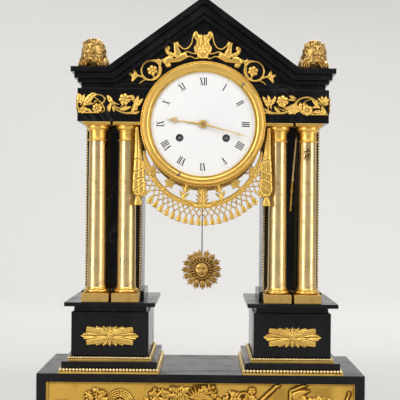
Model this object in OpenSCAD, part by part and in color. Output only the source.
// Portico table clock: a black marble case with gilt bronze mounts and a two-train movement.
// The origin is the middle of the underside of the feet, +Z is up and the dial faces -Y.

/* [Base] */
// Width of the marble base
base_w = 395; // [384:1:480]
// Depth of the marble base
base_d = 150; // [148:1:190]
// Height of the marble base
base_h = 70; // [56:1:95]
// Height of the turned feet
foot_h = 15; // [8:1:25]
// Radius of the turned feet
foot_r = 13; // [9:0.5:18]
// Height of the relief panel in the base
relief_h = 48; // [30:1:50]
// Marble left at each end of the relief panel
relief_margin = 11.5; // [6:0.5:20]

/* [Pedestals] */
// Middle of the clock to the middle of each pedestal
pedestal_x = 110.8; // [108:0.1:130]
// Width of a pedestal's die
die_w = 94; // [80:0.5:100]
// Height of a pedestal's die
die_h = 53; // [40:1:75]
// Height of the neck between die and cap
neck_h = 7; // [4:0.5:12]
// Height of the cap slab
cap_h = 5; // [4:0.5:10]
// Height of the black step under the die
step_h = 7; // [5:0.5:12]
// Height of the lower beaded frame
low_frame_h = 7; // [5:0.5:10]
// Height of the upper beaded frame
top_frame_h = 6; // [4:0.5:9]

/* [Columns] */
// Height of a column from plinth to abacus
column_h = 219; // [160:1:270]
// Side of the square plinth and abacus
plinth_w = 33; // [29:0.5:34]
// Radius of a shaft at its foot
shaft_r = 11.9; // [9:0.1:14]
// Radius of a shaft at its neck
neck_r = 10.45; // [8:0.05:13]
// Between the two columns of a pair
column_pitch = 36.4; // [35:0.1:44]
// Radius of the tie rods inside the columns
rod_r = 2.5; // [1.5:0.1:3.5]

/* [Entablature] */
// Height of the architrave
architrave_h = 9.5; // [9:0.5:16]
// Height of the frieze
frieze_h = 25; // [20:0.5:35]
// Height of the flat band over the frieze
band_h = 6; // [4:0.5:9]
// Height of the cove over the band
cove_h = 6.5; // [4:0.5:9]
// Height of the cornice fillet
fillet_h = 5; // [3:0.5:8]
// Height of the cornice moulding
moulding_h = 7.3; // [4:0.1:10]
// Height of the top slab
slab_h = 6.5; // [4:0.5:10]
// Slope of the pediment in degrees
rake = 36.5; // [32:0.5:42]
// Middle of the clock to where the cornice starts to rise
knee_x = 116; // [108:1:122]

/* [Dial and case] */
// Radius of the enamel that shows
dial_r = 63; // [56:0.5:66]
// Outer radius of the bezel
bezel_r = 75.7; // [72:0.1:80]
// Outer radius of the drum
drum_r = 71; // [69:0.1:72]
// Thickness of the drum wall
drum_wall = 1.3; // [0.8:0.1:2]
// Dial centre below the underside of the architrave
dial_drop = 2; // [0:0.5:4]
// Radius of the winding holes
wind_hole_r = 4.7; // [4:0.1:5.5]
// Clock angle of the hour hand in degrees
hour_angle = 277.5; // [0:0.5:360]
// Clock angle of the minute hand in degrees
minute_angle = 105.6; // [0:0.1:360]

/* [Movement] */
// Radius of the movement plates
plate_r = 56; // [55:0.5:62]
// Thickness of the movement plates
plate_t = 2; // [1.5:0.1:3]
// Room between the plates
plate_gap = 36; // [36:0.5:44]
// Radius of a pivot
pivot_r = 0.6; // [0.4:0.05:0.8]
// Radius of an arbor
arbor_r = 0.8; // [0.7:0.05:1]
// Room round a pivot or a running shaft
running = 0.05; // [0.02:0.01:0.1]
// Length of the pendulum to the middle of its bob
pendulum_l = 228.5; // [190:0.5:240]
// Radius of the bob
bob_r = 26.5; // [20:0.5:32]

/* [Hidden] */
$fn = 64;
eps = 0.01;
marble = "#17181b";
gilt = "#cf9d33";
brass = "#b7923f";
steel = "#8d9095";
blued = "#2b3140";
enamel = "#f5f4ef";

// Levels, from the feet up
base_z = foot_h + base_h;
step_z = base_z + low_frame_h;
frame_z = step_z + step_h;
die_z = frame_z + top_frame_h;
neck_z = die_z + die_h;
cap_z = neck_z + neck_h;
column_z = cap_z + cap_h;
entab_z = column_z + column_h;
frieze_z = entab_z + architrave_h;
band_z = frieze_z + frieze_h;
cove_z = band_z + band_h;
fillet_z = cove_z + cove_h;
slab_top = fillet_z + fillet_h + moulding_h + slab_h;
dial_z = entab_z - dial_drop;

// Depths, from the front back
front_y = -base_d / 2;
cap_front = front_y + 6;
die_front = front_y + 13;
column_y = front_y + 25.5;
entab_front = column_y - plinth_w / 2;
entab_back = base_d / 2 - 13;
pier_front = column_y + plinth_w / 2 + 4;
pier_back = entab_back - 12;

// Widths
entab_half = 152.4;
column_xs = [for (side = [-1, 1], end = [-1, 1]) side * pedestal_x + end * column_pitch / 2];
pier_w = column_pitch + plinth_w;
rod_hole_r = rod_r + 0.5;

// Pediment lines: how far a layer's rake lies under the top slab's, for each mm of its depth
rake_scale = 1.396;
apex_z = slab_top + knee_x * tan(rake);
notch_r = drum_r + 0.3;

// Depths of the dial and the movement
bezel_back = entab_front - 0.2;
bezel_h = 6.3;
dial_dome = 1.5;
dial_t = 1.6;
dial_back = bezel_back + 4;
dial_edge_front = dial_back - dial_t;
dial_plate_t = 1.5;
work_room = 14;
plate_front = dial_back + dial_plate_t + work_room;
inner_front = plate_front + plate_t;
inner_back = inner_front + plate_gap;
plate_back = inner_back + plate_t;
pendulum_y = plate_back + 14;
drum_inner = drum_r - drum_wall;

// Toothed pairs: each wheel's teeth, the next pinion's leaves and their module
barrel_teeth = 80;
barrel_leaves = 10;
barrel_m = 0.5;
inter_teeth = 75;
inter_leaves = 10;
inter_m = 0.5;
centre_teeth = 84;
centre_leaves = 7;
centre_m = 0.44;
third_teeth = 73;
third_leaves = 7;
third_m = 0.44;
pin_teeth = 60;
pin_leaves = 7;
pin_m = 0.44;
gather_teeth = 56;
gather_leaves = 7;
gather_m = 0.4;
warning_teeth = 48;
warning_leaves = 6;
warning_m = 0.4;
cannon_leaves = 12;
minute_teeth = 36;
motion_m = 0.5;
hour_teeth = 40;
hour_leaves = 10;
escape_teeth = 30;
escape_r = 8.5;

// Shape of a tooth: rise, depth, half width at root and at tip, in modules and in pitches
wheel_tooth = [1.0, 1.25, 0.25, 0.09];
pinion_leaf = [0.8, 1.3, 0.22, 0.13];

// Distance between the centres of a toothed pair
function mesh_gap(m, teeth, leaves) = m * (teeth + leaves) / 2;

// Phase of the second wheel of a pair, so that its tooth faces a gap of the first
function mesh_phase(dir, teeth, phase, leaves) =
  dir + 180 + (180 - (phase - dir) * teeth) / leaves;

// Direction from one arbor to another, and the place a distance off in a direction
function bearing(a, b) = atan2(b[1] - a[1], b[0] - a[0]);
function polar(a, r, dir) = [a[0] + r * cos(dir), a[1] + r * sin(dir)];

// Third corner of a triangle that stands on a and b, at distance ra from a and rb from b
function third_corner(a, b, ra, rb) =
  let (d = norm(b - a), turn = acos((ra * ra + d * d - rb * rb) / (2 * ra * d)))
  polar(a, ra, bearing(a, b) + turn);

// Places of the arbors, seen from the front, from the dial's centre
centre_at = [0, 0];
going_at = [28.2, -16.9];
strike_at = [-28.2, -16.9];
anchor_at = [0, 47.5];
escape_at = [0, 36.5];
inter_at = third_corner(
  centre_at, going_at,
  mesh_gap(inter_m, inter_teeth, inter_leaves), mesh_gap(barrel_m, barrel_teeth, barrel_leaves)
);
third_at = third_corner(
  centre_at, escape_at,
  mesh_gap(centre_m, centre_teeth, centre_leaves), mesh_gap(third_m, third_teeth, third_leaves)
);
pin_at = polar(strike_at, mesh_gap(barrel_m, barrel_teeth, barrel_leaves), 95);
gather_at = polar(pin_at, mesh_gap(pin_m, pin_teeth, pin_leaves), 75);
warning_at = polar(gather_at, mesh_gap(gather_m, gather_teeth, gather_leaves), 60);
fly_at = polar(warning_at, mesh_gap(warning_m, warning_teeth, warning_leaves), 70);
minute_at = [0, mesh_gap(motion_m, minute_teeth, cannon_leaves)];
hour_m = 2 * minute_at[1] / (hour_teeth + hour_leaves);
hammer_at = [-48, 14];
pivots = [
  inter_at, third_at, escape_at, anchor_at, pin_at, gather_at, warning_at, fly_at, hammer_at
];

// Places of the plate pillars and of the dial plate's posts
pillar_at = [for (dir = [52, 128, 250, 290]) polar(centre_at, plate_r - 4, dir)];
post_at = [for (dir = [40, 140, 225, 315]) polar(centre_at, plate_r - 5, dir)];
bezel_screw_at = [for (dir = [45, 245]) polar(centre_at, drum_inner - 2.3, dir)];
flange_screw_at = [for (dir = [20, 160]) polar(centre_at, drum_r + 5, dir)];

// A flat shape drawn in the plane of the dial, h thick, whose back lies at depth y
module sheet_y(y, h) {
  translate([0, y, 0]) rotate([90, 0, 0]) linear_extrude(h) children();
}

// A round bar along the depth, from y0 to y1, at a place in the plane of the dial
module bar_y(r, y0, y1, at = [0, 0], sides = 48) {
  translate([at[0], y0, at[1]]) rotate([-90, 0, 0]) cylinder(r = r, h = y1 - y0, $fn = sides);
}

// A turned shape about an axis along the depth; its outline holds radius and depth
module turned_y(at = [0, 0]) {
  translate([at[0], 0, at[1]]) rotate([-90, 0, 0]) rotate_extrude($fn = 96) children();
}

// Children moved to the dial's centre
module at_dial() {
  translate([0, 0, dial_z]) children();
}

// A block given by its middle in x, its low and high corners in y and z, and its width
module block(x, w, y0, y1, z0, z1) {
  translate([x - w / 2, y0, z0]) cube([w, y1 - y0, z1 - z0]);
}

// Toothed outline of a wheel or a pinion
module toothed(teeth, m, phase, tooth) {
  r = m * teeth / 2;
  pitch = 360 / teeth;
  low = r - tooth[1] * m;
  high = r + tooth[0] * m;
  polygon([
    for (i = [0:teeth - 1], p = [[-tooth[2], low], [-tooth[3], high], [tooth[3], high], [tooth[2], low]])
      polar([0, 0], p[1], phase + (i + p[0]) * pitch)
  ]);
}

// Tie rod holes through everything the columns stand on and carry
module rod_holes(z0, z1, r = rod_hole_r) {
  for (x = column_xs) translate([x, column_y, z0]) cylinder(r = r, h = z1 - z0);
}

module feet() {
  color(gilt)
  for (sx = [-1, 1], sy = [-1, 1])
    translate([sx * (base_w / 2 - 28), sy * (base_d / 2 - 24), 0])
      rotate_extrude()
        polygon([
          [0, 0], [foot_r * 0.55, 0], [foot_r * 0.75, foot_h * 0.15], [foot_r * 0.6, foot_h * 0.3],
          [foot_r * 0.95, foot_h * 0.5], [foot_r, foot_h * 0.7], [foot_r * 0.85, foot_h * 0.9],
          [foot_r * 0.9, foot_h], [0, foot_h]
        ]);
}

relief_t = 4;
relief_w = base_w - 2 * relief_margin;
relief_z = base_z - 10.3 - relief_h;
nut_h = 4;
nut_r = 5.5;
nut_pocket = 8;

module base_plinth() {
  color(marble)
  difference() {
    block(0, base_w, -base_d / 2, base_d / 2, foot_h, base_z);
    block(0, relief_w, front_y - 1, front_y + relief_t, relief_z, relief_z + relief_h);
    rod_holes(foot_h - 1, base_z + 1);
    rod_holes(foot_h - 1, foot_h + nut_pocket, nut_r + 1.5);
  }
}

module base_relief() {
  backing_t = 2;
  color(gilt) {
    block(0, relief_w, front_y + relief_t - backing_t, front_y + relief_t, relief_z, relief_z + relief_h);
    sheet_y(front_y + relief_t - backing_t, 1.5)
      for (i = [-4:4]) translate([i * relief_w / 9.5, relief_z + relief_h / 2])
        difference() {
          circle(r = relief_h * 0.36);
          circle(r = relief_h * 0.22);
        }
  }
}

// Plan sizes of a pedestal's layers: how far each stands out past the die
low_frame_out = [13.5, 12];
step_out = [10.5, 9.5];
step_foot_out = [7.5, 6];
top_frame_out = [3.25, 3.25];
die_foot_out = -3;
cap_out = [8, 7];

// A layer of both pedestals that stands out past the die by [sideways, to front and back]
module pedestal_layer(out, z0, z1) {
  for (side = [-1, 1])
    block(side * pedestal_x, die_w + 2 * out[0], die_front - out[1], -die_front + out[1], z0, z1);
}

// A beaded frame round both pedestals: a flat fillet with a narrower row on top
module bead_frame(out, inner, z0, h) {
  difference() {
    union() {
      pedestal_layer(out, z0, z0 + h / 2);
      pedestal_layer([out[0] - 0.6, out[1] - 0.6], z0 + h / 2, z0 + h);
    }
    pedestal_layer(inner, z0 - 1, z0 + h + 1);
  }
}

module pedestal_bead_frames() {
  color(gilt) {
    bead_frame(low_frame_out, step_foot_out, base_z, low_frame_h);
    bead_frame(top_frame_out, [die_foot_out, die_foot_out], frame_z, top_frame_h);
  }
}

module pedestal_steps() {
  color(marble)
  difference() {
    union() {
      pedestal_layer(step_foot_out, base_z, step_z);
      pedestal_layer(step_out, step_z, frame_z);
    }
    rod_holes(base_z - 1, frame_z + 1);
  }
}

module pedestal_dies() {
  color(marble)
  difference() {
    union() {
      pedestal_layer([die_foot_out, die_foot_out], frame_z, die_z);
      pedestal_layer([0, 0], die_z, neck_z);
      pedestal_layer([die_foot_out, die_foot_out], neck_z, cap_z);
    }
    rod_holes(frame_z - 1, cap_z + 1);
  }
}

module pedestal_caps() {
  color(marble)
  difference() {
    pedestal_layer(cap_out, cap_z, column_z);
    rod_holes(cap_z - 1, column_z + 1);
  }
}

// A lozenge of leaves round a boss, lying in the plane of the dial
rosette_w = 69.5;
rosette_h = 23.5;
rosette_t = 3;
module rosette() {
  rotate([90, 0, 0]) {
    linear_extrude(rosette_t / 2)
      polygon([
        for (i = [0:31])
          let (a = i * 360 / 32, r = (i % 2 == 0 ? 1 : 0.72) / (abs(cos(a)) + abs(sin(a))))
          [r * rosette_w / 2 * cos(a), r * rosette_h / 2 * sin(a)]
      ]);
    translate([0, 0, rosette_t / 2]) cylinder(r = rosette_h * 0.22, h = rosette_t / 2);
  }
}

module pedestal_rosettes() {
  z = (die_z + neck_z) / 2 - 2.5;
  color(gilt)
  for (side = [-1, 1]) {
    translate([side * pedestal_x, die_front, z]) rosette();
    translate([side * (pedestal_x + die_w / 2), 0, z]) rotate([0, 0, side * 90]) rosette();
  }
}

base_plinth_h = 11;
base_torus_h = 7;
capital_h = 23;
abacus_h = 3.7;
shaft_foot = column_z + base_plinth_h + base_torus_h;
shaft_top = entab_z - capital_h;

// Children once at the foot of each column
module each_column() {
  for (x = column_xs) translate([x, column_y, 0]) children();
}

module column_bases() {
  torus_r = shaft_r + 3.4;
  color(gilt)
  each_column() {
    difference() {
      union() {
        translate([-plinth_w / 2, -plinth_w / 2, column_z]) cube([plinth_w, plinth_w, base_plinth_h]);
        translate([0, 0, column_z + base_plinth_h])
          rotate_extrude()
            union() {
              square([torus_r - base_torus_h / 4, base_torus_h]);
              translate([torus_r - base_torus_h / 4, base_torus_h / 4]) circle(r = base_torus_h / 4);
              square([shaft_r + 1.5, base_torus_h]);
            }
      }
      translate([0, 0, column_z - 1]) cylinder(r = rod_hole_r, h = base_plinth_h + base_torus_h + 2);
    }
  }
}

module column_shafts() {
  wall = 3;
  color(gilt)
  each_column()
    difference() {
      translate([0, 0, shaft_foot]) cylinder(r1 = shaft_r, r2 = neck_r, h = shaft_top - shaft_foot);
      translate([0, 0, shaft_foot - 1]) cylinder(r = neck_r - wall, h = shaft_top - shaft_foot + 2);
    }
}

module column_capitals() {
  h = capital_h - abacus_h;
  color(gilt)
  each_column()
    difference() {
      union() {
        translate([0, 0, shaft_top])
          rotate_extrude()
            polygon([
              [0, 0], [neck_r, 0], [neck_r + 1.6, 0.6], [neck_r + 1.6, 2.6], [neck_r, 3.2],
              [neck_r, h - 5.5], [neck_r + 1.2, h - 5], [neck_r + 1.2, h - 3.8],
              [neck_r + 2.6, h - 2.6], [neck_r + 3.6, h - 1], [neck_r + 3.6, h], [0, h]
            ]);
        translate([-plinth_w / 2, -plinth_w / 2, entab_z - abacus_h])
          cube([plinth_w, plinth_w, abacus_h]);
      }
      translate([0, 0, shaft_top - 1]) cylinder(r = rod_hole_r, h = capital_h + 2);
    }
}

rod_top = frieze_z - 1.5;
rod_foot = foot_h + 1.5;
nut_play = 0.05;

module tie_rods() {
  color(steel)
  each_column() {
    translate([0, 0, rod_foot]) cylinder(r = rod_r, h = rod_top - rod_foot);
    for (z = [foot_h + nut_pocket - nut_h, rod_top - nut_h + 0.5])
      translate([0, 0, z])
        difference() {
          cylinder(r = nut_r, h = nut_h, $fn = 6);
          translate([0, 0, -1]) cylinder(r = rod_r + nut_play, h = nut_h + 2);
        }
  }
}

module rear_piers() {
  foot_out = 4.5;
  color(marble)
  for (side = [-1, 1]) {
    block(side * pedestal_x, pier_w, pier_front, pier_back, column_z + base_plinth_h, entab_z);
    block(
      side * pedestal_x, pier_w + 2 * foot_out, pier_front - 3.7, pier_back + 3.7,
      column_z, column_z + base_plinth_h
    );
  }
}

bead_w = 2.4;
module pier_bead_frames() {
  low = column_z + base_plinth_h;
  color(gilt)
  for (side = [-1, 1])
    sheet_y(pier_front, bead_w)
      translate([side * pedestal_x, 0])
        difference() {
          translate([-pier_w / 2, low]) square([pier_w, entab_z - low]);
          translate([-pier_w / 2 + bead_w, low + bead_w])
            square([pier_w - 2 * bead_w, entab_z - low - 2 * bead_w]);
        }
}

// Slim staff on the right pier, seen between its two columns
staff_top = [pedestal_x + 5.5, entab_z - 14];
staff_mid = [pedestal_x + 1.1, entab_z - 70];
staff_foot = [pedestal_x - 1.1, entab_z - 107.5];
module staff_mount() {
  r = 1.8;
  collar_r = 2.4;
  lean = [bearing(staff_mid, staff_top), bearing(staff_foot, staff_mid)];
  color(gilt)
  translate([0, pier_front - collar_r, 0]) {
    translate([staff_mid[0], 0, staff_mid[1]])
      rotate([0, 90 - lean[0], 0]) cylinder(r1 = r, r2 = 0.9, h = norm(staff_top - staff_mid));
    translate([staff_mid[0], 0, staff_mid[1]]) sphere(r = collar_r, $fn = 32);
    translate([staff_foot[0], 0, staff_foot[1]])
      rotate([0, 90 - lean[1], 0]) cylinder(r1 = 1.2, r2 = r, h = norm(staff_mid - staff_foot));
  }
}

// What the drum passes through
module drum_notch() {
  at_dial() bar_y(notch_r, entab_front - 20, entab_back + 20, sides = 96);
}

module architraves() {
  color(marble)
  difference() {
    block(0, 2 * entab_half, entab_front, entab_back, entab_z, frieze_z);
    drum_notch();
    rod_holes(entab_z - 1, frieze_z + 1);
    rod_holes(rod_top - nut_h + 0.5, frieze_z + 1, nut_r + 1.5);
  }
}

module flange_screw_holes(r) {
  at_dial() for (at = flange_screw_at) bar_y(r, entab_back - 14, entab_back + 10, at, 24);
}

flange_screw_r = 1.5;
module frieze_blocks() {
  color(marble)
  difference() {
    block(0, 2 * entab_half, entab_front, entab_back, frieze_z, band_z);
    drum_notch();
    flange_screw_holes(flange_screw_r + running);
  }
}

// Scrolls of foliage on the frieze, running from the bezel round the outer ends
scroll_t = 2.5;
module scroll_ring(r) {
  difference() {
    circle(r = r);
    circle(r = r - 2.2);
  }
  circle(r = r * 0.42);
  rotate(35) translate([0, -1]) square([r - 1, 2]);
}

module frieze_scrolls() {
  r = frieze_h * 0.36;
  first = bezel_r + r + 2.5;
  count = 4;
  mid_z = frieze_z + frieze_h / 2;
  pitch = (entab_half - r - first) / (count - 1);
  color(gilt)
  for (side = [-1, 1]) {
    sheet_y(entab_front, scroll_t) {
      for (i = [0:count - 1]) translate([side * (first + i * pitch), mid_z]) scroll_ring(r);
      for (i = [0:count - 2])
        translate([side * (first + (i + 0.5) * pitch) - pitch / 4, mid_z - r * 0.9])
          square([pitch / 2, 2]);
    }
    translate([side > 0 ? entab_half : -entab_half - scroll_t, 0, 0])
      rotate([90, 0, 90]) linear_extrude(scroll_t)
        translate([entab_front + r + 1, mid_z]) scroll_ring(r);
  }
}

module cornice_bands() {
  color(marble)
  difference() {
    union() {
      block(0, 2 * entab_half, entab_front, entab_back, band_z, cove_z);
      block(0, 2 * entab_half - 7.8, entab_front + 3.9, entab_back - 3.9, cove_z, fillet_z);
    }
    drum_notch();
  }
}

// Where a layer of the pediment that lies t under the top turns from level to rising
function knee(t) = knee_x - t * (rake_scale - 1) / tan(rake);

// Two level returns and two rising slabs of one cornice layer, from t0 to t1 under the top
module pediment_layer(t0, t1, half, out) {
  for (side = [-1, 1])
    sheet_y(entab_back + out, entab_back - entab_front + 2 * out) {
      polygon([
        [side * knee(t0), slab_top - t0], [side * half, slab_top - t0],
        [side * half, slab_top - t1], [side * knee(t1), slab_top - t1]
      ]);
    }
  for (side = [-1, 1])
    sheet_y(entab_back + out, entab_back - entab_front + 2 * out)
      polygon([
        [side * knee(t0), slab_top - t0], [0, apex_z - rake_scale * t0],
        [0, apex_z - rake_scale * t1], [side * knee(t1), slab_top - t1]
      ]);
}

cornice_t = slab_h + moulding_h + fillet_h;

module cornice_fillets() {
  color(marble) pediment_layer(slab_h + moulding_h, cornice_t, entab_half, 0);
}

module cornice_mouldings() {
  color(marble) pediment_layer(slab_h, slab_h + moulding_h, entab_half + 3.6, 3.6);
}

module cornice_slabs() {
  color(marble) pediment_layer(0, slab_h, entab_half + 7.6, 7.6);
}

tympanum_front = entab_front + 6;
module tympanum() {
  color(marble)
  difference() {
    sheet_y(entab_back - 3, entab_back - 3 - tympanum_front)
      polygon([
        [-knee(cornice_t), fillet_z], [knee(cornice_t), fillet_z],
        [0, apex_z - rake_scale * cornice_t]
      ]);
    drum_notch();
  }
}

// Lyre between two winged beasts, with a scroll and a leaf at each end
module pediment_mount() {
  lyre_z = dial_z + 81;
  t = 3;
  color(gilt)
  sheet_y(tympanum_front, t) {
    translate([0, lyre_z]) {
      translate([-11, 0]) square([22, 3]);
      for (s = [-1, 1])
        polygon([
          [s * 2, 0], [s * 9, 8], [s * 10, 20], [s * 6, 28],
          [s * 4.5, 26], [s * 7, 19], [s * 6, 10], [s * 1, 3]
        ]);
      translate([-8, 25]) square([16, 2]);
      translate([-1, 2]) square([2, 24]);
      translate([0, 29]) circle(r = 3);
    }
    for (s = [-1, 1]) {
      polygon([
        [s * 10, lyre_z + 2], [s * 14, lyre_z + 16], [s * 22, lyre_z + 24], [s * 30, lyre_z + 14],
        [s * 42, lyre_z + 12], [s * 46, lyre_z - 4], [s * 36, lyre_z - 12], [s * 24, lyre_z - 4]
      ]);
      translate([s * 20, lyre_z + 22]) circle(r = 4.5);
      translate([s * 62, dial_z + 66]) scroll_ring(11.5);
      polygon([
        [s * 72, dial_z + 57], [s * 88, dial_z + 53], [s * 86, dial_z + 60], [s * 73, dial_z + 66]
      ]);
      polygon([[s * 40, lyre_z - 6], [s * 50, lyre_z - 2], [s * 55, lyre_z - 8], [s * 46, lyre_z - 14]]);
    }
  }
}

// Recumbent lions on the level ends of the top slab
lion_w = 34.5;
lion_l = 62;
lion_h = 36;
lion_front = entab_front - 4;
module lion() {
  r = lion_w * 0.34;
  block(0, lion_w, 0, lion_l, 0, 3);
  translate([0, lion_l * 0.3, r + 3 - 1]) rotate([-90, 0, 0]) cylinder(r = r, h = lion_l * 0.6);
  translate([0, lion_l * 0.27, lion_h * 0.62]) sphere(r = lion_h * 0.38);
  translate([0, lion_l * 0.1, lion_h * 0.62]) sphere(r = lion_h * 0.22);
  for (s = [-1, 1]) {
    block(s * lion_w * 0.3, lion_w * 0.26, 1, lion_l * 0.5, 3, 9);
    translate([s * lion_w * 0.27, lion_l * 0.75, 11]) sphere(r = 7.8);
  }
}

module lions() {
  color(gilt)
  for (side = [-1, 1]) translate([side * (entab_half - 17.7), lion_front, slab_top]) lion();
}

// Drapery: pierced bronze whose hidden strips lie between the bezel and the marble
drape_t = 3;
drape_back = bezel_back + drape_t;
module side_drapes() {
  tassel_x = 78.6;
  color(gilt)
  at_dial()
    for (s = [-1, 1])
      sheet_y(drape_back, drape_t) {
        polygon([
          [s * 78, -4], [s * 81.6, -4], [s * 82.5, -34], [s * 83.8, -56.5], [s * 84.9, -76],
          [s * 82, -83.5], [s * (tassel_x + 1.6), -84], [s * (tassel_x + 2.2), -87.5],
          [s * (tassel_x + 4.8), -96.2], [s * (tassel_x - 4.8), -96.2],
          [s * (tassel_x - 2.2), -87.5], [s * (tassel_x - 1.6), -84], [s * 74, -82.5],
          [s * 70.9, -77], [s * 71.4, -56.5], [s * 72.3, -36],
          [s * (bezel_r - 9.5), -36], [s * (bezel_r - 9.5), -29], [s * 73.4, -29]
        ]);
      }
}

// Arc of a ring under the dial, r0 to r1 about a point a drop lower, between two directions
module low_arc(drop, r0, r1, dir0, dir1) {
  reach = 2 * r1;
  translate([0, -drop])
    intersection() {
      difference() {
        circle(r = r1, $fn = 96);
        circle(r = r0, $fn = 96);
      }
      polygon([
        [0, 0], polar([0, 0], reach, dir0), polar([0, 0], reach, (dir0 * 2 + dir1) / 3),
        polar([0, 0], reach, (dir0 + dir1 * 2) / 3), polar([0, 0], reach, dir1)
      ]);
    }
}

band_drop = 28.6;
band_r0 = 66.8;
band_r1 = 72.8;
tassel_drop = 31.8;
tassel_r = 91.5;
tassel_l = 9.2;
tassels = 18;
tassel_dirs = [for (i = [0:tassels - 1]) 223 + i * 94 / (tassels - 1)];
palmette_dirs = [[233, 6], [252, 4.5], [270, 6.8], [288, 4.5], [307, 6]];
module swag() {
  low_r = tassel_r - tassel_l;
  color(gilt)
  at_dial()
    sheet_y(drape_back, drape_t)
      union() {
        low_arc(0, drum_r + 0.1, bezel_r - 0.5, 217, 323);
        low_arc(band_drop, band_r0, band_r1, 194, 346);
        low_arc(tassel_drop, low_r - 6, low_r - 4.8, 221, 319);
        for (p = palmette_dirs)
          rotate(p[0]) {
            translate([bezel_r - 1, -1.5]) square([23, 3]);
            translate([bezel_r + p[1] + 2, 0]) circle(r = p[1]);
          }
        for (dir = tassel_dirs)
          translate([0, -tassel_drop]) rotate(dir)
            polygon([
              [band_r1 - 4, -0.7], [low_r, -0.7], [low_r + 2, -1.8], [tassel_r, -3.4],
              [tassel_r, 3.4], [low_r + 2, 1.8], [low_r, 0.7], [band_r1 - 4, 0.7]
            ]);
      }
}

flange_t = 2.5;
flange_r = drum_r + 8;
door_r = drum_r + 1;
hinge_x = -(drum_r + 4.5);
hinge_y = entab_back + flange_t + 2.2;
knuckle_r = 2;
knuckle_l = 10;
pin_r = 0.8;
bezel_screw_r = 0.8;
bezel_head_r = 1.6;

module drum_case() {
  lug_front = dial_back + dial_plate_t;
  color(gilt)
  at_dial()
    difference() {
      union() {
        bar_y(drum_r, bezel_back, entab_back + flange_t, sides = 96);
        bar_y(flange_r, entab_back, entab_back + flange_t, sides = 96);
        // two outer knuckles of the door hinge
        for (z = [-knuckle_l - 0.2, knuckle_l + 0.2])
          translate([hinge_x, hinge_y, z - knuckle_l / 2]) {
            cylinder(r = knuckle_r, h = knuckle_l, $fn = 32);
            translate([-knuckle_r, -2.2 - eps, 0]) cube([knuckle_r, 2.2, knuckle_l]);
          }
      }
      difference() {
        bar_y(drum_inner, bezel_back - 1, entab_back + flange_t + 1, sides = 96);
        // lugs that the dial plate and the bezel screws pull against
        for (at = concat(bezel_screw_at, [polar(centre_at, drum_inner - 2.3, 150)]))
          bar_y(3, lug_front, lug_front + 6, at, 32);
      }
      for (at = bezel_screw_at) bar_y(bezel_screw_r + running, bezel_back, lug_front + 7, at, 24);
      // slot for the pendulum rod in the bottom of the drum
      translate([-14, pendulum_y - 4, -drum_r - 2]) cube([28, 8, 8]);
      for (at = flange_screw_at)
        bar_y(flange_screw_r + running, entab_back - 1, entab_back + flange_t + 1, at, 24);
      translate([hinge_x, hinge_y, -2 * knuckle_l])
        cylinder(r = pin_r + running, h = 4 * knuckle_l, $fn = 32);
    }
}

// Two small screws through the bezel, two through the rear flange, and the hinge pin
module case_screws() {
  head_y = bezel_back - 3.2;
  color(steel)
  at_dial() {
    for (at = bezel_screw_at) {
      bar_y(bezel_head_r, head_y, head_y + 1, at, 24);
      bar_y(bezel_screw_r, head_y + 1, dial_back + dial_plate_t + 6, at, 24);
    }
    for (at = flange_screw_at) {
      bar_y(3, entab_back + flange_t, entab_back + flange_t + 1.6, at, 24);
      bar_y(flange_screw_r, entab_back - 12, entab_back + flange_t, at, 24);
    }
    translate([hinge_x, hinge_y, -1.5 * knuckle_l - 1]) cylinder(r = pin_r, h = 3 * knuckle_l + 2, $fn = 32);
  }
}

// Cast bezel: outer fillet, broad cove and inner lip; radius and depth from its back
lip_gap = 0.2;
module bezel() {
  w = bezel_r - dial_r;
  // the lip clears the enamel's dome where it crosses it
  dome_at_lip = dial_dome * (1 - pow(dial_r / dial_edge_r, 2));
  lip_back = dial_edge_front - max(lip_gap, dome_at_lip + running);
  color(gilt)
  difference() {
    at_dial()
      turned_y()
        polygon([
          [bezel_r, bezel_back], [bezel_r, bezel_back - 3.2], [bezel_r - w * 0.08, bezel_back - 4],
          [bezel_r - w * 0.14, bezel_back - 4], [bezel_r - w * 0.2, bezel_back - bezel_h + 0.4],
          [bezel_r - w * 0.32, bezel_back - bezel_h], [bezel_r - w * 0.45, bezel_back - bezel_h + 0.5],
          [bezel_r - w * 0.65, bezel_back - 3.6], [bezel_r - w * 0.84, bezel_back - 2.2],
          [bezel_r - w * 0.88, bezel_back - 3], [dial_r + 0.6, bezel_back - 3],
          [dial_r, bezel_back - 2.2], [dial_r, lip_back], [dial_r + 2, lip_back],
          [drum_inner - 0.1, bezel_back + 0.5], [drum_inner - 0.1, bezel_back]
        ]);
    at_dial()
      for (at = bezel_screw_at) {
        bar_y(bezel_screw_r + running, bezel_back - 10, bezel_back + 5, at, 24);
        bar_y(bezel_head_r + running, bezel_back - 10, bezel_back - 2.2, at, 24);
      }
  }
}

dial_edge_r = drum_inner - 3.4;
centre_hole_r = 4;
module dial_plate() {
  color(brass)
  at_dial()
    difference() {
      bar_y(drum_inner - 0.1, dial_back, dial_back + dial_plate_t, sides = 96);
      bar_y(centre_hole_r, dial_back - 1, dial_back + dial_plate_t + 1);
      for (at = [going_at, strike_at]) bar_y(wind_hole_r, dial_back - 1, dial_back + dial_plate_t + 1, at);
      for (at = bezel_screw_at)
        bar_y(bezel_screw_r + running, dial_back - 1, dial_back + dial_plate_t + 1, at, 24);
    }
}

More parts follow.
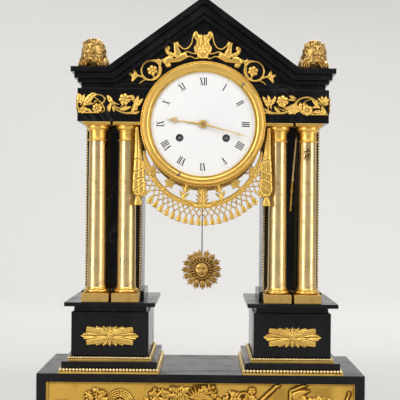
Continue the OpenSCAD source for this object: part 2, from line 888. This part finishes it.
// Enamel disc, domed by dial_dome between its edge and its middle
module dial() {
  steps = 8;
  color(enamel)
  at_dial()
    difference() {
      turned_y()
        polygon(concat(
          [[0, dial_back], [dial_edge_r, dial_back]],
          [
            for (i = [steps:-1:0])
              let (k = i / steps) [dial_edge_r * k, dial_edge_front - dial_dome * (1 - k * k)]
          ]
        ));
      bar_y(centre_hole_r, dial_back - 10, dial_back + 1);
      for (at = [going_at, strike_at]) bar_y(wind_hole_r, dial_back - 10, dial_back + 1, at);
    }
}

// Round plate with its pivot holes
winding_r = 2.2;
centre_arbor_r = 1;
module movement_plate(y0, r_winding, r_centre) {
  at_dial()
    difference() {
      bar_y(plate_r, y0, y0 + plate_t, sides = 96);
      for (at = pivots) bar_y(pivot_r + running, y0 - 1, y0 + plate_t + 1, at, 24);
      for (at = [going_at, strike_at]) bar_y(r_winding + running, y0 - 1, y0 + plate_t + 1, at, 32);
      bar_y(r_centre + running, y0 - 1, y0 + plate_t + 1, sides = 32);
    }
}

stud_r = 0.8;
module front_plate() {
  color(brass) {
    movement_plate(plate_front, winding_r, centre_arbor_r);
    at_dial() bar_y(stud_r, plate_front - 10, plate_front, minute_at, 24);
  }
}

module back_plate() {
  color(brass)
  difference() {
    movement_plate(inner_back, winding_r - 0.7, pivot_r);
    // the anchor's arbor and the hammer's arbor pass right through
    at_dial() bar_y(anchor_arbor_r + running, inner_back - 1, plate_back + 1, anchor_at, 24);
    at_dial() bar_y(anchor_arbor_r + running, inner_back - 1, plate_back + 1, hammer_at, 24);
  }
}

module plate_pillars() {
  color(brass)
  at_dial() {
    for (at = pillar_at) bar_y(2.5, inner_front, inner_back, at, 32);
    for (at = post_at) bar_y(2.2, dial_back + dial_plate_t, plate_front, at, 32);
  }
}

// Depths of the toothed planes, from the inside of the front plate
great_d = 18.5;
inter_d = 24;
centre_d = 29;
third_d = 12;
gather_d = 6;
warning_d = 16;
escape_d = 28;
ratchet_r = 9;
ratchet_t = 1.5;
ratchet_gap = 2;

// Clicks on the front plate, each just clear of its ratchet's teeth
module ratchet_clicks() {
  color(steel)
  at_dial()
    for (at = [going_at, strike_at])
      sheet_y(plate_front, ratchet_gap + ratchet_t)
        translate(at) {
          translate([0, -ratchet_r - 4.5]) circle(r = 2, $fn = 24);
          polygon([[0, -ratchet_r - 6], [8, -ratchet_r - 2.5], [7.4, -ratchet_r + 1.4], [0, -ratchet_r - 3]]);
        }
}

// End shake of an arbor between the plates, and how far its pivots end inside them
end_shake = 0.3;
pivot_short = 0.2;

// An arbor between the plates with a pivot at each end
module arbor(at, r = arbor_r) {
  bar_y(r, inner_front + end_shake, inner_back - end_shake, at, 24);
  bar_y(pivot_r, plate_front + pivot_short, plate_back - pivot_short, at, 24);
}

// Thickness of the wheels, how far a pinion starts before its driver, and its length
wheel_t = 1.5;
thin_wheel_t = 1.2;
pinion_lead = 1.5;
pinion_l = 4.5;

// A toothed disc of a train: its place, depth behind the front plate, thickness
module train_wheel(at, d, t, teeth, m, phase, tooth = wheel_tooth) {
  translate([at[0], 0, at[1]])
    sheet_y(inner_front + d + t, t) toothed(teeth, m, phase, tooth);
}

// Phases that bring every pair into mesh at rest
inter_pinion_phase = mesh_phase(bearing(going_at, inter_at), barrel_teeth, 0, barrel_leaves);
centre_pinion_phase = mesh_phase(bearing(inter_at, centre_at), inter_teeth, 0, inter_leaves);
third_pinion_phase = mesh_phase(bearing(centre_at, third_at), centre_teeth, 0, centre_leaves);
escape_pinion_phase = mesh_phase(bearing(third_at, escape_at), third_teeth, 0, third_leaves);
pin_pinion_phase = mesh_phase(bearing(strike_at, pin_at), barrel_teeth, 0, barrel_leaves);
gather_pinion_phase = mesh_phase(bearing(pin_at, gather_at), pin_teeth, 0, pin_leaves);
warning_pinion_phase = mesh_phase(bearing(gather_at, warning_at), gather_teeth, 0, gather_leaves);
fly_pinion_phase = mesh_phase(bearing(warning_at, fly_at), warning_teeth, 0, warning_leaves);
minute_phase = mesh_phase(bearing(centre_at, minute_at), cannon_leaves, 0, minute_teeth);
hour_phase = mesh_phase(bearing(minute_at, centre_at), hour_leaves, 0, hour_teeth);

// A spring barrel with its great wheel, hollow for the spring, and the wound spring in it
barrel_front = 4;
barrel_wall = 1.5;
great_t = 2.5;
module barrel(at) {
  r = barrel_m * barrel_teeth / 2 - 1;
  y0 = inner_front + barrel_front;
  y1 = inner_front + great_d + great_t;
  color(brass)
  difference() {
    union() {
      bar_y(r, y0, y1, at, 96);
      train_wheel(at, great_d, great_t, barrel_teeth, barrel_m, 0);
    }
    difference() {
      bar_y(r - barrel_wall, y0 + barrel_wall, y1 - barrel_wall, at, 96);
      bar_y(winding_r + 1.5, y0, y1, at, 48);
    }
    bar_y(winding_r + running, y0 - 1, y1 + 1, at, 48);
  }
  color(blued)
  difference() {
    bar_y(r - barrel_wall - 0.2, y0 + barrel_wall + 0.3, y1 - barrel_wall - 0.3, at, 96);
    bar_y(r * 0.5, y0, y1, at, 64);
  }
}

module going_barrel() {
  at_dial() barrel(going_at);
}

module strike_barrel() {
  at_dial() barrel(strike_at);
}

// Winding arbor: squared front end, ratchet wheel, plain arbor through the barrel
square_w = 3.2;
module winding_arbor(at) {
  ratchet_teeth = 18;
  color(steel) {
    bar_y(winding_r, plate_front - ratchet_gap, inner_back - end_shake, at, 48);
    bar_y(winding_r - 0.7, inner_back - end_shake, plate_back - pivot_short, at, 32);
    translate([at[0], 0, at[1]])
      sheet_y(plate_front - ratchet_gap, ratchet_t)
        polygon([
          for (i = [0:ratchet_teeth - 1], p = [[0, ratchet_r], [0.92, ratchet_r - 1.4]])
            polar([0, 0], p[1], (i + p[0]) * 360 / ratchet_teeth)
        ]);
    block(
      at[0], square_w, dial_edge_front, plate_front - ratchet_gap,
      at[1] - square_w / 2, at[1] + square_w / 2
    );
  }
}

module going_winding_arbor() {
  at_dial() winding_arbor(going_at);
}

module strike_winding_arbor() {
  at_dial() winding_arbor(strike_at);
}

module intermediate_wheel() {
  color(brass)
  at_dial() {
    arbor(inter_at);
    train_wheel(
      inter_at, great_d - 1, inter_d - great_d + 1, barrel_leaves, barrel_m, inter_pinion_phase, pinion_leaf
    );
    difference() {
      train_wheel(inter_at, inter_d, wheel_t, inter_teeth, inter_m, 0);
      wheel_windows(inter_at, inter_d, wheel_t, inter_m * inter_teeth / 2);
    }
  }
}

// Four round windows that lighten a wheel
module wheel_windows(at, d, t, r) {
  for (a = [45:90:315])
    bar_y(r * 0.27, inner_front + d - 1, inner_front + d + t + 1, polar(at, r * 0.55, a), 32);
}

centre_tip = dial_back - dial_t - dial_dome - 5.6;
module centre_wheel() {
  color(brass)
  at_dial() {
    bar_y(centre_arbor_r, centre_tip, inner_back - end_shake, sides = 32);
    bar_y(pivot_r, inner_back - end_shake, plate_back - pivot_short, sides = 24);
    train_wheel(
      centre_at, inter_d - pinion_lead, centre_d - inter_d + pinion_lead, inter_leaves, inter_m,
      centre_pinion_phase, pinion_leaf
    );
    difference() {
      train_wheel(centre_at, centre_d, wheel_t, centre_teeth, centre_m, 0);
      wheel_windows(centre_at, centre_d, wheel_t, centre_m * centre_teeth / 2);
    }
  }
}

module third_wheel() {
  color(brass)
  at_dial() {
    arbor(third_at);
    train_wheel(
      third_at, centre_d - pinion_lead, pinion_l, centre_leaves, centre_m, third_pinion_phase, pinion_leaf
    );
    difference() {
      train_wheel(third_at, third_d, thin_wheel_t, third_teeth, third_m, 0);
      wheel_windows(third_at, third_d, thin_wheel_t, third_m * third_teeth / 2);
    }
  }
}

module escape_wheel() {
  color(brass)
  at_dial() {
    arbor(escape_at);
    train_wheel(
      escape_at, third_d - pinion_lead, pinion_l, third_leaves, third_m, escape_pinion_phase, pinion_leaf
    );
    translate([escape_at[0], 0, escape_at[1]])
      sheet_y(inner_front + escape_d + 1, 1)
        polygon([
          for (i = [0:escape_teeth - 1], p = [[0, escape_r], [0.12, escape_r], [0.5, escape_r - 1.6]])
            polar([0, 0], p[1], (i + p[0]) * 360 / escape_teeth)
        ]);
  }
}

// Anchor, its arbor and the crutch that leads down behind the back plate to the pendulum
anchor_arbor_r = 1;
crutch_l = 38;
fork_play = 0.15;
pend_rod_r = 0.9;
cock_y = pendulum_y - 7.4;
module pallet_anchor() {
  reach = 8.2;
  clear = 0.9;
  color(steel)
  at_dial() {
    bar_y(anchor_arbor_r, inner_front + end_shake, cock_y + 1.7, anchor_at, 24);
    bar_y(pivot_r, plate_front + pivot_short, inner_front + end_shake, anchor_at, 24);
    translate([anchor_at[0], 0, anchor_at[1]]) {
      sheet_y(inner_front + escape_d + 1.2, 1.4)
        difference() {
          union() {
            circle(r = 2.4, $fn = 32);
            for (s = [-1, 1])
              polygon([
                [0, 2.4], [s * (reach + 1.6), -3], [s * (reach + 1.4), -8.6],
                [s * (reach - 0.4), -8.6], [s * (reach - 0.6), -4.6], [0, -0.6]
              ]);
          }
          translate(escape_at - anchor_at) circle(r = escape_r + clear, $fn = 64);
        }
      // crutch: strip behind the back plate, then a fork round the pendulum rod
      block(0, 2, plate_back + 2, plate_back + 3.2, -crutch_l, 1);
      for (s = [-1, 1])
        block(
          s * (pend_rod_r + fork_play + 0.6), 1.2, plate_back + 2, pendulum_y + 1.6,
          -crutch_l - 1.6, -crutch_l
        );
      block(
        0, 2 * (pend_rod_r + fork_play) + 2.4, plate_back + 2, plate_back + 3.2,
        -crutch_l - 1.6, -crutch_l
      );
    }
  }
}

// Cock on the back plate: rear bearing of the anchor, and the chops that hold the pendulum
spring_t = 0.3;
spring_w = 5;
spring_l = 9;
stand_at = [20, 0];
module anchor_cock() {
  leg_x = 11.5;
  difference() {
    union() {
      block(0, 2 * leg_x + 3, plate_back, plate_back + 2, 3, 9);
      for (s = [-1, 1]) block(s * leg_x, 3, plate_back + 2, cock_y, 3, 9);
      block(0, 2 * leg_x + 3, cock_y, cock_y + 3, -3, 9);
      block(0, 8, cock_y + 3, pendulum_y + spring_w / 2 + 1, 0.05, 9);
    }
    bar_y(anchor_arbor_r + running, cock_y - 1, cock_y + 2, [0, 0], 24);
  }
}

// Stand that reaches round the pendulum from the back plate and holds the bell's middle
module bell_stand() {
  arm_y = bell_mouth - 2;
  crown = bell_mouth + bell_h;
  bar_y(2.4, plate_back, arm_y, stand_at, 32);
  sheet_y(arm_y + 3, 3)
    polygon([stand_at + [3, 3], stand_at + [3, -3], bell_at + [-3, -3], bell_at + [-3, 3]]);
  bar_y(bell_hole_r - running, arm_y + 3, crown + 4, bell_at, 32);
  bar_y(4, crown, crown + 2.5, bell_at, 32);
  bar_y(4, crown - bell_t - 2.5, crown - bell_t, bell_at, 32);
}

module back_cocks() {
  color(brass) {
    at_dial() translate([anchor_at[0], 0, anchor_at[1]]) anchor_cock();
    at_dial() bell_stand();
  }
}

// Suspension spring, rod and rating nut
bob_z = -pendulum_l;
module pendulum_rod() {
  at_dial()
    translate([anchor_at[0], pendulum_y, anchor_at[1]]) {
      color(blued) block(0, spring_t, -spring_w / 2, spring_w / 2, -spring_l, 0);
      color(steel) {
        block(0, 3, -spring_w / 2, spring_w / 2, -spring_l - 5, -spring_l);
        translate([0, 0, bob_z - bob_r * 0.7])
          cylinder(r = pend_rod_r, h = pendulum_l + bob_r * 0.7 - spring_l - 5, $fn = 32);
      }
      color(brass)
        translate([0, 0, bob_z - bob_r * 0.55])
          difference() {
            cylinder(r = 3, h = 3, $fn = 32);
            translate([0, 0, -1]) cylinder(r = pend_rod_r + running, h = 5, $fn = 32);
          }
    }
}

module pendulum_bob() {
  rays = 16;
  plate_y = -3.2;
  dome_r = bob_r * 0.62;
  color(gilt)
  at_dial()
    translate([anchor_at[0], pendulum_y, anchor_at[1] + bob_z])
      difference() {
        union() {
          sheet_y(plate_y, 2)
            polygon([
              for (i = [0:2 * rays - 1])
                polar([0, 0], i % 2 == 0 ? bob_r : bob_r * 0.7, 90 + i * 180 / rays)
            ]);
          intersection() {
            translate([0, dome_r * 0.3, 0]) sphere(r = dome_r);
            block(0, 2 * bob_r, -bob_r, plate_y, -bob_r, bob_r);
          }
          block(0, 6, plate_y, 2.4, -bob_r * 0.4, bob_r * 0.4);
        }
        translate([0, 0, -bob_r]) cylinder(r = pend_rod_r + running, h = 2 * bob_r, $fn = 32);
      }
}

// Motion work in front of the front plate
cannon_r = 2;
cannon_front = dial_back - dial_t - dial_dome - 4.4;
cannon_y = plate_front - 4.8;
hour_y = plate_front - 8.5;
hour_pipe_r = 3.2;
hour_front = dial_back - dial_t - dial_dome - 2.2;
hand_lip = 0.2;

module cannon_pinion() {
  color(steel)
  at_dial()
    difference() {
      union() {
        bar_y(cannon_r, cannon_front + hand_lip, plate_front - 0.5, sides = 32);
        sheet_y(cannon_y + 3, 3) toothed(cannon_leaves, motion_m, 0, pinion_leaf);
      }
      bar_y(centre_arbor_r + running, cannon_front - 1, plate_front + 1, sides = 32);
    }
}

module minute_wheel() {
  color(brass)
  at_dial()
    difference() {
      union() {
        translate([minute_at[0], 0, minute_at[1]]) {
          sheet_y(cannon_y + 2.2, 1.4) toothed(minute_teeth, motion_m, minute_phase, wheel_tooth);
          sheet_y(cannon_y + 0.8, 4.4) toothed(hour_leaves, hour_m, 0, pinion_leaf);
        }
      }
      bar_y(stud_r + running, plate_front - 12, plate_front, minute_at, 24);
    }
}

module hour_wheel() {
  color(brass)
  at_dial()
    difference() {
      union() {
        bar_y(hour_pipe_r, hour_front + hand_lip, hour_y + 1.2, sides = 48);
        sheet_y(hour_y + 1.2, 1.2) toothed(hour_teeth, hour_m, hour_phase, wheel_tooth);
      }
      bar_y(cannon_r + running, hour_front - 1, hour_y + 2, sides = 48);
    }
}

// A pierced hand: tapering blade, an open head at head_r and a point, drawn towards 12
module hand_shape(length, hub_r, head_r, head_w, root_w) {
  union() {
    circle(r = hub_r, $fn = 48);
    polygon([[-root_w, hub_r * 0.7], [root_w, hub_r * 0.7], [0.5, head_r], [-0.5, head_r]]);
    difference() {
      translate([0, head_r]) polygon([[-head_w, 0], [0, -head_w], [head_w, 0], [0, head_w * 1.4]]);
      translate([0, head_r]) circle(r = head_w * 0.42, $fn = 24);
    }
    polygon([[-0.6, head_r + head_w], [0.6, head_r + head_w], [0.25, length], [-0.25, length]]);
  }
}

// The hands end short of the bezel's lip, and their pierced heads lie inside their points
hand_t = 0.8;
minute_l = dial_r - 6;
minute_head_r = minute_l - 14;
hour_l = dial_r - 17.5;
hour_head_r = hour_l - 9.5;
module hour_hand() {
  color(gilt)
  at_dial()
    difference() {
      sheet_y(hour_front + hand_t, hand_t) rotate(-hour_angle) hand_shape(hour_l, 5.2, hour_head_r, 3.4, 1.7);
      bar_y(hour_pipe_r, hour_front + hand_lip, hour_front + 3, sides = 48);
      bar_y(cannon_r + 0.3, hour_front - 3, hour_front + 3, sides = 48);
    }
}

module minute_hand() {
  color(gilt)
  at_dial()
    difference() {
      sheet_y(cannon_front + hand_t, hand_t)
        rotate(-minute_angle) hand_shape(minute_l, 4.2, minute_head_r, 2.4, 1.5);
      bar_y(cannon_r, cannon_front + hand_lip, cannon_front + 3, sides = 48);
      bar_y(centre_arbor_r + 0.2, cannon_front - 3, cannon_front + 3, sides = 32);
    }
}

// Strike train
pin_circle = 10.8;
module pin_wheel() {
  color(brass)
  at_dial() {
    arbor(pin_at);
    train_wheel(
      pin_at, great_d - 1, inter_d - great_d + 1, barrel_leaves, barrel_m, pin_pinion_phase, pinion_leaf
    );
    train_wheel(pin_at, inter_d, wheel_t, pin_teeth, pin_m, 0);
    for (a = [0:45:315])
      bar_y(0.5, inner_front + inter_d - 2.5, inner_front + inter_d, polar(pin_at, pin_circle, a + 20), 16);
  }
}

module gathering_wheel() {
  color(brass)
  at_dial() {
    arbor(gather_at);
    train_wheel(
      gather_at, inter_d - pinion_lead, pinion_l, pin_leaves, pin_m, gather_pinion_phase, pinion_leaf
    );
    train_wheel(gather_at, gather_d, thin_wheel_t, gather_teeth, gather_m, 0);
  }
}

module warning_wheel() {
  color(brass)
  at_dial() {
    arbor(warning_at);
    train_wheel(
      warning_at, gather_d - pinion_lead, pinion_l, gather_leaves, gather_m, warning_pinion_phase, pinion_leaf
    );
    train_wheel(warning_at, warning_d, 1, warning_teeth, warning_m, 0);
  }
}

fly_w = 14;
module fly() {
  color(brass)
  at_dial() {
    arbor(fly_at);
    train_wheel(fly_at, warning_d - pinion_lead, 4, warning_leaves, warning_m, fly_pinion_phase, pinion_leaf);
    block(fly_at[0], fly_w, inner_front + 19.5, inner_front + 26.5, fly_at[1] - 0.3, fly_at[1] + 0.3);
  }
}

// Bell behind the pendulum, its mouth towards the movement
bell_r = 38;
bell_t = 1.8;
bell_h = 20;
bell_mouth = pendulum_y + 14;
bell_at = [0, -5];
bell_hole_r = 2.05;
bell_flat_r = 5;
module bell() {
  curve = [for (a = [0:10:80]) [cos(0.95 * a), sin(a)]];
  inner = [for (i = [8:-1:0]) [(bell_r - bell_t) * curve[i][0], (bell_h - bell_t) * curve[i][1]]];
  color(steel)
  at_dial()
    translate([0, bell_mouth, 0])
      turned_y(bell_at)
        polygon(concat(
          [for (c = curve) [bell_r * c[0], bell_h * c[1]]],
          [[bell_flat_r, bell_h], [bell_hole_r, bell_h]],
          [[bell_hole_r, bell_h - bell_t], [bell_flat_r, bell_h - bell_t]],
          inner
        ));
}

// Hammer: arbor, tail beside the pins, and a stem with its head beside the bell
module hammer() {
  dir = bearing(hammer_at, pin_at);
  tail = norm(pin_at - hammer_at) - pin_circle - 1.2;
  head_at = [bell_at[0] - bell_r - 5.2, bell_at[1] + 1];
  stem_y = bell_mouth + 1;
  color(steel)
  at_dial() {
    bar_y(pivot_r, plate_front + pivot_short, inner_front + end_shake, hammer_at, 24);
    bar_y(anchor_arbor_r, inner_front + end_shake, stem_y + 2, hammer_at, 24);
    translate([hammer_at[0], inner_front + inter_d - 0.7, hammer_at[1]])
      rotate([0, -dir, 0]) translate([0, 0, -0.6]) translate([0, -1.4, 0]) cube([tail, 1.4, 1.2]);
    translate([0, stem_y + 2, 0])
      rotate([90, 0, 0]) linear_extrude(2)
        polygon([
          hammer_at + [-1.6, 1], hammer_at + [1.6, 1], head_at + [1, 3], head_at + [-1, 3]
        ]);
    bar_y(4, stem_y - 3, stem_y + 5, head_at, 32);
  }
}

// Hinged door that closes the back of the drum
door_t = 1.5;
door_gap = 0.3;
module back_door() {
  y0 = entab_back + flange_t + door_gap;
  color(brass)
  at_dial()
    difference() {
      union() {
        bar_y(door_r, y0, y0 + door_t, sides = 96);
        translate([hinge_x, hinge_y, -knuckle_l / 2]) cylinder(r = knuckle_r, h = knuckle_l, $fn = 32);
        block(hinge_x + 4.5, 9, y0, y0 + door_t, -knuckle_l / 2, knuckle_l / 2);
        translate([door_r - 8, y0 + door_t, 0]) rotate([-90, 0, 0]) cylinder(r = 2.5, h = 2.5, $fn = 32);
      }
      translate([hinge_x, hinge_y, -knuckle_l]) cylinder(r = pin_r + running, h = 2 * knuckle_l, $fn = 32);
    }
}

feet();
base_plinth();
base_relief();
pedestal_bead_frames();
pedestal_steps();
pedestal_dies();
pedestal_caps();
pedestal_rosettes();
column_bases();
column_shafts();
column_capitals();
tie_rods();
rear_piers();
pier_bead_frames();
staff_mount();
architraves();
frieze_blocks();
frieze_scrolls();
cornice_bands();
cornice_fillets();
cornice_mouldings();
cornice_slabs();
tympanum();
pediment_mount();
lions();
side_drapes();
swag();
drum_case();
case_screws();
bezel();
dial_plate();
dial();
front_plate();
back_plate();
plate_pillars();
ratchet_clicks();
back_cocks();
bell();
cannon_pinion();
minute_hand();
minute_wheel();
hour_wheel();
hour_hand();
going_barrel();
going_winding_arbor();
intermediate_wheel();
centre_wheel();
third_wheel();
escape_wheel();
pallet_anchor();
pendulum_rod();
pendulum_bob();
strike_barrel();
strike_winding_arbor();
pin_wheel();
gathering_wheel();
warning_wheel();
fly();
hammer();
back_door();
